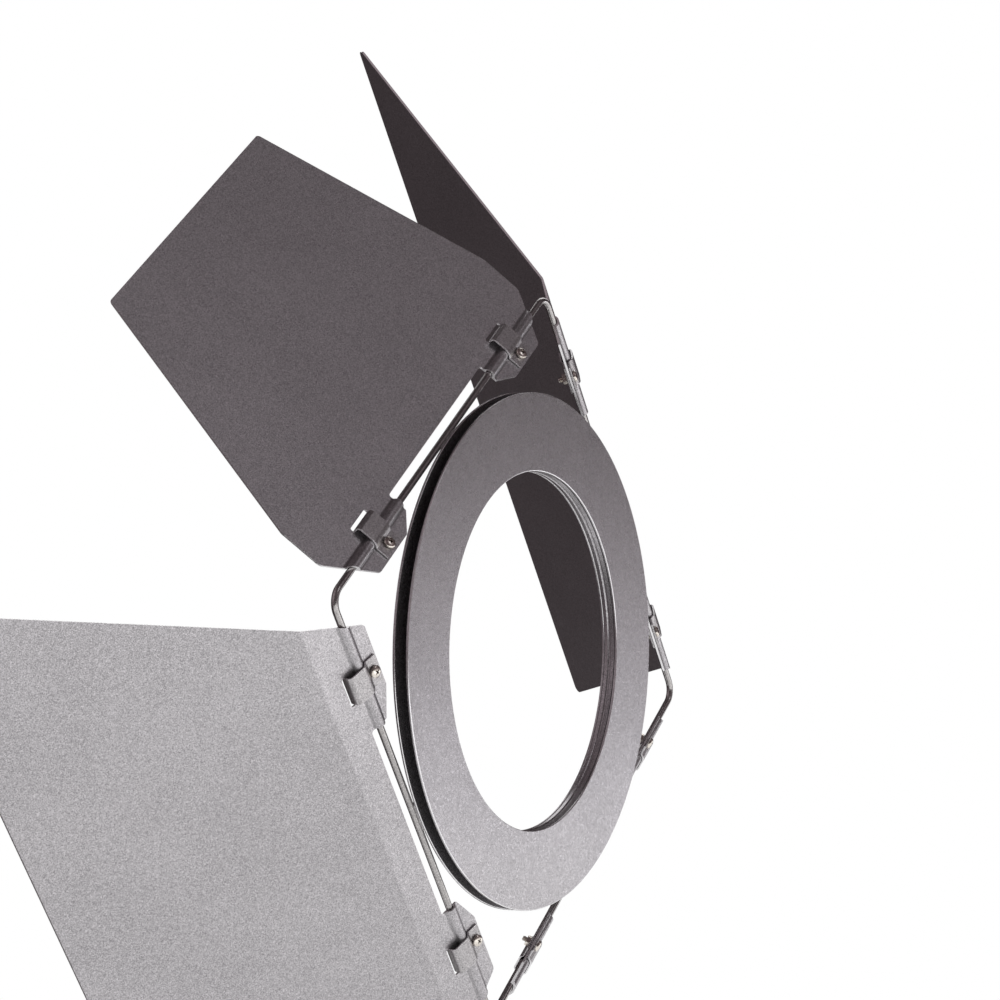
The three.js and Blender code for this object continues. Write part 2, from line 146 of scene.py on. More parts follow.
class Bench:
    """The hand tools that shape every mesh: primitives, edit-mode operators and modifiers."""

    @staticmethod
    def clear() -> None:
        """Leaves edit mode and deselects everything."""
        if bpy.context.mode != "OBJECT":
            bpy.ops.object.mode_set(mode="OBJECT")
        bpy.ops.object.select_all(action="DESELECT")

    @staticmethod
    def pick(obj: bpy.types.Object) -> None:
        """Makes obj the only selected object, and the active one."""
        Bench.clear()
        obj.select_set(True)
        bpy.context.view_layer.objects.active = obj

    @staticmethod
    def apply_place(obj: bpy.types.Object) -> None:
        """Puts the object's place, turn and scale into its mesh."""
        Bench.pick(obj)
        bpy.ops.object.transform_apply(location=True, rotation=True, scale=True)

    @staticmethod
    def edit_all(obj: bpy.types.Object) -> None:
        """Opens edit mode with the whole mesh selected."""
        Bench.pick(obj)
        bpy.ops.object.mode_set(mode="EDIT")
        bpy.ops.mesh.select_all(action="SELECT")

    @staticmethod
    def close(obj: bpy.types.Object, merge: float = 1e-6) -> None:
        """Merges doubles, turns all faces outwards and leaves edit mode."""
        Bench.edit_all(obj)
        bpy.ops.mesh.remove_doubles(threshold=merge)
        bpy.ops.mesh.normals_make_consistent(inside=False)
        bpy.ops.object.mode_set(mode="OBJECT")

    @staticmethod
    def draw(name: str, points: Sequence[Point], fill: bool = True) -> bpy.types.Object:
        """Draws a closed outline by pulling one vertex from corner to corner.

        Args:
            name: Name of the new object.
            points: Corners of the outline in space.
            fill: Whether the outline gets a face.

        Returns:
            The new object.
        """
        Bench.clear()
        bpy.ops.mesh.primitive_plane_add(size=mm(1), location=points[0])
        obj = bpy.context.object
        obj.name = name
        Bench.apply_place(obj)
        Bench.edit_all(obj)
        bpy.ops.mesh.merge(type="CENTER")
        for before, after in zip(points, points[1:]):
            step = tuple(b - a for a, b in zip(before, after))
            bpy.ops.mesh.extrude_vertices_move(TRANSFORM_OT_translate={"value": step})
        mesh = bmesh.from_edit_mesh(obj.data)
        mesh.verts.ensure_lookup_table()
        bpy.ops.mesh.select_all(action="DESELECT")
        for vert in mesh.verts:
            vert.select_set(len(vert.link_edges) == 1)
        bmesh.update_edit_mesh(obj.data)
        bpy.ops.mesh.edge_face_add()
        bpy.ops.mesh.select_all(action="SELECT")
        if fill:
            bpy.ops.mesh.edge_face_add()
        bpy.ops.object.mode_set(mode="OBJECT")
        return obj

    @staticmethod
    def prism(name: str, points: Sequence[Point], depth: Point) -> bpy.types.Object:
        """Draws an outline and extrudes it by a vector into a closed solid."""
        obj = Bench.draw(name, points)
        Bench.edit_all(obj)
        bpy.ops.mesh.extrude_region_move(TRANSFORM_OT_translate={"value": depth})
        Bench.close(obj)
        return obj

    @staticmethod
    def turned(name: str, profile: Sequence[Flat], steps: int) -> bpy.types.Object:
        """Spins a closed (radius, level) profile about the Z axis into a closed solid."""
        obj = Bench.draw(name, [(radius, 0.0, level) for radius, level in profile], fill=False)
        Bench.edit_all(obj)
        bpy.ops.mesh.spin(steps=steps, angle=2 * math.pi, center=(0, 0, 0), axis=(0, 0, 1))
        Bench.close(obj)
        return obj

    @staticmethod
    def combine(obj: bpy.types.Object, tool: bpy.types.Object, operation: str) -> None:
        """Applies a boolean between a piece and a tool, and removes the tool.

        Args:
            obj: The piece that is changed.
            tool: The solid that it is combined with.
            operation: The boolean's name, such as DIFFERENCE.
        """
        Bench.pick(obj)
        boolean = obj.modifiers.new("cut", "BOOLEAN")
        boolean.operation = operation
        boolean.solver = "EXACT"
        boolean.object = tool
        bpy.ops.object.modifier_apply(modifier=boolean.name)
        bpy.data.objects.remove(tool)

    @staticmethod
    def soften(obj: bpy.types.Object, width: float) -> None:
        """Bevels the sharp edges and shades the rest smooth.

        Args:
            obj: The piece.
            width: How wide each rounded edge is.
        """
        Bench.pick(obj)
        bevel = obj.modifiers.new("edges", "BEVEL")
        bevel.width = width
        bevel.segments = 2
        bevel.limit_method = "ANGLE"
        bevel.angle_limit = math.radians(SHARP)
        bevel.use_clamp_overlap = True
        bpy.ops.object.modifier_apply(modifier=bevel.name)
        Bench.shade(obj)

    @staticmethod
    def shade(obj: bpy.types.Object, angle: float = SHARP) -> None:
        """Shades the mesh smooth up to an angle, and keeps its flat faces flat.

        Args:
            obj: The piece.
            angle: Edges that turn further than this many degrees stay sharp.
        """
        Bench.pick(obj)
        bpy.ops.object.shade_smooth_by_angle(angle=math.radians(angle))
        normals = obj.modifiers.new("flats", "WEIGHTED_NORMAL")
        normals.keep_sharp = True
        normals.weight = 50
        bpy.ops.object.modifier_apply(modifier=normals.name)

    @staticmethod
    def mark_edges(
        obj: bpy.types.Object, width: float, cut: Callable[[Vector], bool] | None = None
    ) -> None:
        """Stores which faces lie on an edge, where paint wears to the metal and the finishes paint
        a highlight.

        Args:
            obj: The piece.
            width: Faces narrower than this round an edge.
            cut: Tells by its normal whether a face is the cut edge of the sheet.
        """
        layer = obj.data.attributes.new("edge", "FLOAT", "FACE")
        for face in obj.data.polygons:
            corners = [obj.data.vertices[index].co for index in face.vertices]
            girth = sum((a - b).length for a, b in zip(corners, corners[1:] + corners[:1]))
            value = 1.0 if 2 * face.area < width * girth else 0.0
            if cut and cut(face.normal):
                value = 1.0
            layer.data[face.index].value = value

    @staticmethod
    def mark_shaded_hollow(obj: bpy.types.Object, inside: Callable[[Vector], bool]) -> None:
        """Stores which faces lie in a dip, told by their middles, where the finishes paint shade.
        """
        layer = obj.data.attributes.new("shaded_hollow", "FLOAT", "FACE")
        for face in obj.data.polygons:
            layer.data[face.index].value = 1.0 if inside(face.center) else 0.0

    @staticmethod
    def copy(source: bpy.types.Object, name: str, place: Matrix) -> bpy.types.Object:
        """Copies a piece with a mesh of its own, and puts the copy's place into that mesh.

        Args:
            source: The pattern.
            name: Name of the copy.
            place: Where the copy goes.

        Returns:
            The copy, with its object at the origin.
        """
        twin = source.copy()
        twin.data = source.data.copy()
        twin.name = name
        twin.data.name = name
        bpy.context.scene.collection.objects.link(twin)
        twin.data.transform(place)
        twin.data.update()
        return twin

    @staticmethod
    def bin(*objects: bpy.types.Object) -> None:
        """Removes patterns that are no longer needed."""
        for obj in objects:
            bpy.data.objects.remove(obj)


# ---- Shader maths -------------------------------------------------------------------------


class Signal:
    """A shader socket that adds its own Math nodes when it stands in an expression."""

    def __init__(self, desk: "ShaderDesk", socket: bpy.types.NodeSocket) -> None:
        """Wraps one output socket of a material's node tree."""
        self.desk = desk
        self.socket = socket

    def _math(self, operation: str, *terms: "Signal | float") -> "Signal":
        """Adds one Math node for an operation on the given terms."""
        return self.desk.node("ShaderNodeMath", {"operation": operation}, dict(enumerate(terms)))

    def __add__(self, other: "Signal | float") -> "Signal":
        """self + other."""
        return self._math("ADD", self, other)

    __radd__ = __add__

    def __sub__(self, other: "Signal | float") -> "Signal":
        """self - other."""
        return self._math("SUBTRACT", self, other)

    def __rsub__(self, other: "Signal | float") -> "Signal":
        """other - self."""
        return self._math("SUBTRACT", other, self)

    def __mul__(self, other: "Signal | float") -> "Signal":
        """self * other."""
        return self._math("MULTIPLY", self, other)

    __rmul__ = __mul__

    def __truediv__(self, other: "Signal | float") -> "Signal":
        """self / other."""
        return self._math("DIVIDE", self, other)

    def __pow__(self, other: "Signal | float") -> "Signal":
        """self to the power other."""
        return self._math("POWER", self, other)

    def over(self, level: float, softness: float) -> "Signal":
        """A mask that rises from 0 to 1 as the signal passes a level."""
        return ((self - (level - softness / 2)) / softness).clamped()

    def clamped(self) -> "Signal":
        """The signal held between 0 and 1."""
        return self.desk.node("ShaderNodeClamp", {}, {"Value": self})


class ShaderDesk:
    """The node tree of a material or world, with a single method that adds any node."""

    def __init__(self, owner: bpy.types.Material | bpy.types.World) -> None:
        """Opens the nodes of a new material or world and finds its shader."""
        self.owner = owner
        owner.use_nodes = True
        self.tree = owner.node_tree
        names = {"Principled BSDF", "Background"}
        self.shader = next(node for node in self.tree.nodes if node.name in names)

    @classmethod
    def material(cls, name: str) -> "ShaderDesk":
        """Starts a material that holds only a Principled shader and its output."""
        return cls(bpy.data.materials.new(name))

    def node(self, kind: str, settings: dict, inputs: dict, output: int | str = 0) -> Signal:
        """Adds a node.

        Args:
            kind: The node's type.
            settings: Properties of the node, set before its inputs.
            inputs: Socket name or index to a value or Signal.
            output: The output that the Signal wraps.

        Returns:
            The wrapped output socket.
        """
        node = self.tree.nodes.new(kind)
        for key, value in settings.items():
            setattr(node, key, value)
        for key, value in inputs.items():
            if isinstance(value, Signal):
                self.tree.links.new(value.socket, node.inputs[key])
            else:
                node.inputs[key].default_value = value
        return Signal(self, node.outputs[output])

    def blend(self, mask: Signal, low: Signal | Colour, high: Signal | Colour) -> Signal:
        """Mixes two colours by a mask.

        Args:
            mask: 0 gives the low colour and 1 the high one.
            low: A colour or the Signal of one.
            high: A colour or the Signal of one.

        Returns:
            The mixed colour.
        """
        ends = [c if isinstance(c, Signal) else (*c, 1.0) for c in (low, high)]
        mix = self.tree.nodes.new("ShaderNodeMix")
        mix.data_type = "RGBA"
        self.tree.links.new(mask.socket, mix.inputs["Factor"])
        for socket, end in zip((mix.inputs[6], mix.inputs[7]), ends):
            if isinstance(end, Signal):
                self.tree.links.new(end.socket, socket)
            else:
                socket.default_value = end
        return Signal(self, mix.outputs[2])

    def wire(
        self, links: dict[str, Signal], constants: dict[str, object]
    ) -> bpy.types.Material | bpy.types.World:
        """Finishes the shader.

        Args:
            links: Shader socket to the Signal that drives it.
            constants: Shader socket to a value that is the same all over.

        Returns:
            The material or world.
        """
        for name, signal in links.items():
            self.tree.links.new(signal.socket, self.shader.inputs[name])
        for name, value in constants.items():
            self.shader.inputs[name].default_value = value
        return self.owner


# ---- Finishes -----------------------------------------------------------------------------


class Coat(Enum):
    """The painted finishes that differ only in depth and wear."""

    LEAF = "leaf_powder_coat"
    RING = "ring_powder_coat"
    CLAMP = "clamp_powder_coat"
    ROD = "rod_silver_coat"
    WELD = "weld_painted_bead"


@dataclass(frozen=True)
class PowderCoat:
    """Fine silver-grey powder coat with aluminium flake, over sheet steel."""

    coat: Coat
    colour: Colour = (0.425, 0.410, 0.423)
    metallic: float = 0.84
    roughness: float = 0.36
    grain: float = mm(0.48)  # size of one visible fleck
    contrast: float = 0.34
    relief: float = mm(0.010)
    bare_metal_and_highlight: Colour = (0.86, 0.85, 0.86)  # paint worn through on an edge shows the bright metal; on the cut rims it is a painted highlight

    def tint(self, factor: float) -> Colour:
        """The coat's colour made lighter or darker."""
        return tuple(min(channel * factor, 1.0) for channel in self.colour)

    def make(self) -> bpy.types.Material:
        """Builds the material.

        Returns:
            A material that reads Object coordinates and the piece's own edge attribute.
        """
        desk = ShaderDesk.material(self.coat.value)
        place = desk.node("ShaderNodeTexCoord", {}, {}, "Object")

        def noise(size: float, detail: float) -> Signal:
            """Noise whose features are about size metres across."""
            sockets = {"Vector": place, "Scale": 1 / size, "Detail": detail, "Roughness": 0.6}
            return desk.node("ShaderNodeTexNoise", {}, sockets)

        speckle = noise(self.grain * 1.1, 3)
        peel = noise(self.grain * 1.5, 2)
        cloud = noise(mm(60), 2)
        rub = noise(mm(9), 4)
        sockets = {"Vector": place, "Scale": 1 / self.grain}
        flake = desk.node("ShaderNodeTexVoronoi", {"feature": "F1"}, sockets, "Color")
        tone = desk.node("ShaderNodeSeparateColor", {}, {"Color": flake}, "Red")
        glint = tone.over(0.94, 0.05)
        pit = 1 - tone.over(0.08, 0.06)
        depth = 0.5 + (speckle - 0.5) * 2.4 + (tone - 0.5) * 0.9 + (cloud - 0.5) * 0.35
        low, high = self.tint(1 - self.contrast), self.tint(1 + self.contrast)
        paint = desk.blend(depth.clamped(), low, high)
        paint = desk.blend(glint * 0.4, paint, self.tint(1.7))
        paint = desk.blend(pit * 0.3, paint, self.tint(0.45))
        # Painted shade: faces in the ridge's concave fillets are darkened.
        shaded_hollow = desk.node("ShaderNodeAttribute", {"attribute_name": "shaded_hollow"}, {}, "Fac")
        paint = desk.blend(shaded_hollow * 0.4, paint, self.tint(0.4))
        edge = desk.node("ShaderNodeAttribute", {"attribute_name": "edge"}, {}, "Fac")
        # Edges: paint worn to the metal, plus a painted highlight on the cut rims.
        worn_and_lit_edge = (edge * (0.55 + rub * 0.6)).clamped()
        paint = desk.blend(worn_and_lit_edge, paint, self.bare_metal_and_highlight)
        gloss = self.roughness + (speckle - 0.5) * 0.10 + (rub - 0.5) * 0.08 - glint * 0.08
        height = peel * 0.6 + speckle * 0.5 + glint * 0.3
        sockets = {"Height": height, "Distance": self.relief, "Strength": 0.8}
        bump = desk.node("ShaderNodeBump", {}, sockets)
        return desk.wire(
            {"Base Color": paint, "Roughness": (gloss - worn_and_lit_edge * 0.1).clamped(), "Normal": bump},
            {"Metallic": self.metallic, "Coat Weight": 0.06, "Coat Roughness": 0.25},
        )


@dataclass(frozen=True)
class ZincPlate:
    """Zinc plate with a faint yellow cast, stained patches, painted shade in the cross recess and
    turning marks.
    """

    name: str = "zinc_plate"
    colour: Colour = (0.62, 0.58, 0.53)
    # Colour of the stains, and of the painted shade in the recess.
    stain_and_shade: Colour = (0.16, 0.12, 0.10)
    roughness: float = 0.20

    def make(self) -> bpy.types.Material:
        """Builds the material.

        Returns:
            A metal whose plating is mottled, with stained patches and painted shade in the recess.
        """
        desk = ShaderDesk.material(self.name)
        place = desk.node("ShaderNodeTexCoord", {}, {}, "Object")
        sockets = {"Vector": place, "Detail": 3, "Roughness": 0.6}
        mottle = desk.node("ShaderNodeTexNoise", {}, sockets | {"Scale": 1 / mm(1.1)})
        patch = desk.node("ShaderNodeTexNoise", {}, sockets | {"Scale": 1 / mm(2.2)})
        scratch = desk.node("ShaderNodeTexNoise", {}, sockets | {"Scale": 1 / mm(0.25)})
        shaded_hollow = desk.node("ShaderNodeAttribute", {"attribute_name": "shaded_hollow"}, {}, "Fac")
        edge = desk.node("ShaderNodeAttribute", {"attribute_name": "edge"}, {}, "Fac")
        # Stained patches at random, plus painted shade in the screw's cross recess.
        grime_and_shade = (patch.over(0.58, 0.14) * 0.5 + shaded_hollow * 0.85).clamped()
        bright = tuple(min(c * 1.45, 1.0) for c in self.colour)
        plate = desk.blend(mottle, self.colour, bright)
        # Painted highlight: the rounded edges of screw and nut are brightened.
        plate = desk.blend(edge * 0.6, plate, bright)
        plate = desk.blend(grime_and_shade, plate, self.stain_and_shade)
        gloss = self.roughness + (mottle - 0.5) * 0.18 + grime_and_shade * 0.28
        sockets = {"Height": scratch, "Distance": mm(0.012), "Strength": 0.4}
        bump = desk.node("ShaderNodeBump", {}, sockets)
        return desk.wire(
            {"Base Color": plate, "Roughness": gloss.clamped(), "Normal": bump},
            {"Metallic": 1.0},
        )


class Paints:
    """Every finish of the object, made once and kept by name."""

    def __init__(self) -> None:
        """Mixes all finishes."""
        self.leaf = PowderCoat(Coat.LEAF).make()
        self.ring = PowderCoat(Coat.RING, roughness=0.28).make()
        self.clamp = PowderCoat(Coat.CLAMP, colour=(0.40, 0.385, 0.39)).make()
        self.rod = PowderCoat(
            Coat.ROD, colour=(0.40, 0.385, 0.38), metallic=0.95, roughness=0.24, contrast=0.2,
            relief=mm(0.004),
        ).make()
        self.weld = PowderCoat(
            Coat.WELD, colour=(0.34, 0.33, 0.33), roughness=0.44, relief=mm(0.05)
        ).make()
        self.zinc = ZincPlate().make()


class Shelf:
    """Hands finished pieces to the frame: finish, body and the CAD node they replace."""

    def __init__(self) -> None:
        """Starts with no pieces."""
        self.count = 0

    def place(
        self, piece: bpy.types.Object, paint: bpy.types.Material, slot: str, body: str, *nodes: str
    ) -> None:
        """Finishes one piece.

        Args:
            piece: The finished object.
            paint: Its material.
            slot: The record's material slot; not used.
            body: The CAD body that it rides on.
            nodes: The CAD nodes that it stands for.
        """
        piece.data.materials.clear()
        piece.data.materials.append(paint)
        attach(piece, body)
        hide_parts(*nodes)
        self.count += 1
        LOG.info("%s rides on %s with %d faces", piece.name, body, len(piece.data.polygons))


# ---- Ring ---------------------------------------------------------------------------------


@dataclass
class Ring:
    """The two flat rings and the collar that joins them."""

    shelf: Shelf
    paints: Paints
    steps: int = 160
    edge: float = mm(0.45)
    collar_wall: float = mm(1.5)
    swage_radius: float = mm(1.2)
    swage_rise: float = mm(0.35)

    def flat_ring(self, node: str) -> bpy.types.Object:
        """Turns a flat ring with rounded rims.

        Args:
            node: The flange whose place it fills.

        Returns:
            The ring.
        """
        low, high = (Vector(corner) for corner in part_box(node))
        opening = Vector(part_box("inner_collar")[1]).x - self.collar_wall
        corners = [(opening, low.y), (high.x, low.y), (high.x, high.y), (opening, high.y)]
        return self.turn(f"{node}_sheet", rounded(corners, self.edge, 3, self.edge / 2))

    def collar(self) -> bpy.types.Object:
        """Turns the collar, with a shallow rolled swage along its middle.

        Returns:
            The collar.
        """
        low, high = (Vector(corner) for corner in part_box("inner_collar"))
        inner = high.x - self.collar_wall
        middle = (low.y + high.y) / 2
        centre = (inner - self.swage_radius + self.swage_rise, middle)
        swage = arc(centre, self.swage_radius, -60, 60, 6)
        outside = [(high.x, high.y), (high.x, low.y)]
        flare = [(inner, low.y), *swage, (inner, high.y)]
        return self.turn("collar_band", [*outside, *flare])

    def turn(self, name: str, profile: Sequence[Flat]) -> bpy.types.Object:
        """Turns a profile and lays it on the lamp's axis.

        Args:
            name: Name of the piece.
            profile: Its (radius, level along the lamp's axis) outline.

        Returns:
            The turned piece.
        """
        obj = Bench.turned(name, profile, self.steps)
        obj.data.transform(Matrix.Rotation(-math.pi / 2, 4, "X"))
        Bench.shade(obj)
        Bench.mark_edges(obj, self.edge * 0.6)
        return obj

    def build(self) -> None:
        """Builds the three ring pieces."""
        finish = (self.paints.ring, "ring_paint", "ring_frame")
        for node in ("front_flange", "rear_flange"):
            self.shelf.place(self.flat_ring(node), *finish, node)
        self.shelf.place(self.collar(), *finish, "inner_collar")


# ---- Hinge rod ----------------------------------------------------------------------------


@dataclass
class HingeRod:
    """The rod square and the four welds that hold it to the front ring."""

    shelf: Shelf
    paints: Paints
    radius: float = mm(2.0)
    bend: float = mm(9.5)
    turn: float = 8.9 + 45  # degrees from +X to the first side's middle
    sides: int = 28
    bend_steps: int = 14
    drops: int = 8  # in each weld
    drop_pitch: float = mm(2.1)
    drop_size: Point = (mm(2.2), mm(1.5), mm(2.2))
    drop_wander: float = mm(0.22)
    melt: float = mm(0.35)  # how finely the drops run together

    @property
    def offset(self) -> float:
        """Distance from the lamp's axis to each side of the square."""
        pin = Vector(frame["joints"][0]["pos_m"])
        return math.hypot(pin.x, pin.z)

    @property
    def level(self) -> float:
        """The rod's place along the lamp's axis."""
        return frame["joints"][0]["pos_m"][1]

    def axes(self, side: int) -> tuple[Vector, Vector]:
        """The outward and lengthwise directions of a side of the square."""
        a = math.radians(self.turn + 90 * side)
        return Vector((math.cos(a), 0, math.sin(a))), Vector((-math.sin(a), 0, math.cos(a)))

    def square(self) -> bpy.types.Object:
        """Extrudes a circle along the sides and spins it round the corners.

        Returns:
            The bent rod.
        """
        away, along = self.axes(0)
        Bench.clear()
        bpy.ops.mesh.primitive_circle_add(
            vertices=self.sides, radius=self.radius, fill_type="NOTHING"
        )
        rod = bpy.context.object
        rod.name = "bent_hinge_rod"
        middle = away * self.offset + AXLE * self.level
        basis = Matrix((away, -AXLE, along)).transposed().to_4x4()
        rod.matrix_world = Matrix.Translation(middle) @ basis
        Bench.apply_place(rod)
        Bench.edit_all(rod)
        straight = self.offset - self.bend
        for side in range(4):
            away, along = self.axes(side)
            run = along * straight
            bpy.ops.mesh.extrude_region_move(TRANSFORM_OT_translate={"value": run})
            centre = (away + along) * straight + AXLE * self.level
            bpy.ops.mesh.spin(steps=self.bend_steps, angle=math.pi / 2, center=centre, axis=AXLE)
            run = self.axes(side + 1)[1] * straight
            bpy.ops.mesh.extrude_region_move(TRANSFORM_OT_translate={"value": run})
        Bench.close(rod, mm(0.02))
        Bench.shade(rod, 40)
        Bench.mark_edges(rod, 0.0)
        return rod

    def bead(self, side: int) -> bpy.types.Object:
        """Lays overlapping drops of weld along the rod's inner flank and melts them together.

        Args:
            side: Which side of the square the weld is on.

        Returns:
            The weld bead.
        """
        away, along = self.axes(side)
        face = Vector(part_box("front_flange")[0]).y
        parts = []
        for index in range(self.drops):
            shift = (index - (self.drops - 1) / 2) * self.drop_pitch
            wander = self.drop_wander * math.sin(index * 2.4 + side)
            spot = away * (self.offset - mm(1.9) + wander) + along * shift
            spot += AXLE * (face - mm(0.5))
            Bench.clear()
            bpy.ops.mesh.primitive_uv_sphere_add(
                segments=20, ring_count=12, radius=1, location=spot
            )
            drop = bpy.context.object
            drop.scale = self.drop_size
            Bench.apply_place(drop)
            parts.append(drop)
        Bench.clear()
        for part in parts:
            part.select_set(True)
        bpy.context.view_layer.objects.active = parts[0]
        bpy.ops.object.join()
        weld = bpy.context.object
        weld.name = f"weld_bead_{side + 1}"
        remesh = weld.modifiers.new("melt", "REMESH")
        remesh.mode = "VOXEL"
        remesh.voxel_size = self.melt
        bpy.ops.object.modifier_apply(modifier=remesh.name)
        smooth = weld.modifiers.new("flow", "SMOOTH")
        smooth.iterations = 2
        bpy.ops.object.modifier_apply(modifier=smooth.name)
        bpy.ops.object.shade_smooth()
        Bench.mark_edges(weld, 0.0)
        return weld

    def build(self) -> None:
        """Builds the rod and its welds."""
        self.shelf.place(self.square(), self.paints.rod, "rod_steel", "ring_frame", "hinge_rod")
        for side in range(4):
            node = f"rod_weld_{side + 1}"
            self.shelf.place(self.bead(side), self.paints.weld, "weld_bead", "ring_frame", node)


# ---- Leaves -------------------------------------------------------------------------------


class Kind(Enum):
    """The two blanks that the leaves are cut from."""

    NARROW = "narrow"
    WIDE = "wide"


@dataclass
class LeafBlank:
    """The flat outline and folds of one kind of leaf, in millimetres from the hinge line."""

    kind: Kind
    notch: float
    tab_foot: float
    tab_head: float
    shoulder: float
    shoulder_start: float
    shoulder_end: float
    tip_half_width: float
    reach: float
    crease: float
    bend: float
    screw_along: float
    crease_radius: float = 2.5
    crown_steps: int = 22
    groove_steps: int = 18
    fold_steps: int = 4
    spare_near: float = 4.0  # sheet that the outline trims off on the ring's side
    spare_far: float = 6.0  # and at the outer edge
    sheet: float = 1.2
    rod_radius: float = 2.0
    clearance: float = 0.3
    tab_tip: float = -13.5
    notch_edge: float = 6.7
    notch_foot: float = -5.6
    screw_across: float = -8.0
    hole_radius: float = 1.8
    slot_corner: float = 0.8
    slot: tuple[float, float, float] = (18.2, 9.2, 13.0)  # length, nearer edge, farther edge
    fillet: float = 1.6  # where the ridge runs out into the sheet
    fillet_steps: int = 5

    @property
    def ridge_inner(self) -> float:
        """Radius of the groove that the rod lies in."""
        return self.rod_radius + self.clearance

    @property
    def ridge_outer(self) -> float:
        """Radius of the ridge on the leaf's outer face."""
        return self.ridge_inner + self.sheet

    @property
    def fillet_span(self) -> tuple[float, float]:
        """Where the fillet beside the ridge starts and ends, in metres from the hinge line."""
        reach = self.ridge_outer + self.fillet
        foot = math.sqrt(reach**2 - (self.sheet / 2 + self.fillet) ** 2)
        return mm(foot * self.ridge_outer / reach), mm(foot)

    def folded(self, across: float) -> float:
        """How far across a place on the blank comes to lie once the panel is bent."""
        if across <= self.crease:
            return across
        return self.crease + (across - self.crease) * math.cos(math.radians(self.bend))

    def outline(self) -> list[Flat]:
        """The outline seen square to the hinge strip.

        Returns:
            The points of the outline, with rounded corners.
        """
        half = [  # along, across, corner radius
            (self.notch, self.notch_edge, 1.6),
            (self.notch, self.notch_foot, 1.2),
            (self.tab_foot, self.tab_tip, 2.0),
            (self.tab_head, self.tab_tip, 3.0),
            (self.shoulder, self.shoulder_start, 6.0),
            (self.shoulder, self.shoulder_end, 6.0),
            (self.tip_half_width, self.reach, 3.0),
        ]
        if self.shoulder_end == self.shoulder_start:
            del half[4]
        right = [(along, self.folded(across), radius) for along, across, radius in half]
        left = [(-along, across, radius) for along, across, radius in reversed(right)]
        both = right + left
        return rounded([(a, c) for a, c, _ in both], [r for _, _, r in both], 5)

    def section(self) -> list[Flat]:
        """The sheet's section, with ridge, fillets and bent panel.

        Returns:
            The points of the closed section as (across, height).
        """
        half = self.sheet / 2
        bend = math.radians(self.bend)
        start = self.tab_tip - self.spare_near
        panel = self.reach + self.spare_far - self.crease
        tip = Vector((self.crease + panel * math.cos(bend), -panel * math.sin(bend)))
        lean = Vector((math.sin(bend), math.cos(bend))) * half
        lift = half + self.fillet
        foot = math.sqrt((self.ridge_outer + self.fillet) ** 2 - lift**2)
        meet = math.degrees(math.atan2(lift, foot))
        lip = math.degrees(math.asin(half / self.ridge_inner))
        crown = arc((0, 0), self.ridge_outer, meet, 180 - meet, self.crown_steps)
        toward = arc((foot, lift), self.fillet, 270, 180 + meet, self.fillet_steps)
        away = arc((-foot, lift), self.fillet, -meet, -90, self.fillet_steps)
        groove = arc((0, 0), self.ridge_inner, 180 + lip, -lip, self.groove_steps)
        outer_bend = []
        inner_bend = []
        if self.bend > 0:
            reach_in = (self.crease_radius + half) * math.tan(bend / 2)
            centre = (self.crease - reach_in, -(self.crease_radius + half))
            top = 90 - self.bend
            outer_bend = arc(centre, self.crease_radius + self.sheet, top, 90, self.fold_steps)
            inner_bend = arc(centre, self.crease_radius, 90, top, self.fold_steps)
        points = [(start, -half), *groove, *inner_bend]
        points += [tuple(tip - lean), tuple(tip + lean), *outer_bend]
        points += [*toward, *crown[1:-1], *away, (start, half)]
        return points


BLANKS = {
    Kind.NARROW: LeafBlank(
        Kind.NARROW, notch=63, tab_foot=76.5, tab_head=110.5, shoulder=135, shoulder_start=14.5,
        shoulder_end=40.5, tip_half_width=87.5, reach=185.5, crease=22, bend=0,
        screw_along=91.8,
    ),
    Kind.WIDE: LeafBlank(
        Kind.WIDE, notch=64.5, tab_foot=82, tab_head=120.8, shoulder=145, shoulder_start=26,
        shoulder_end=26, tip_half_width=254, reach=201.5, crease=26, bend=25,
        screw_along=94.5,
    ),
}


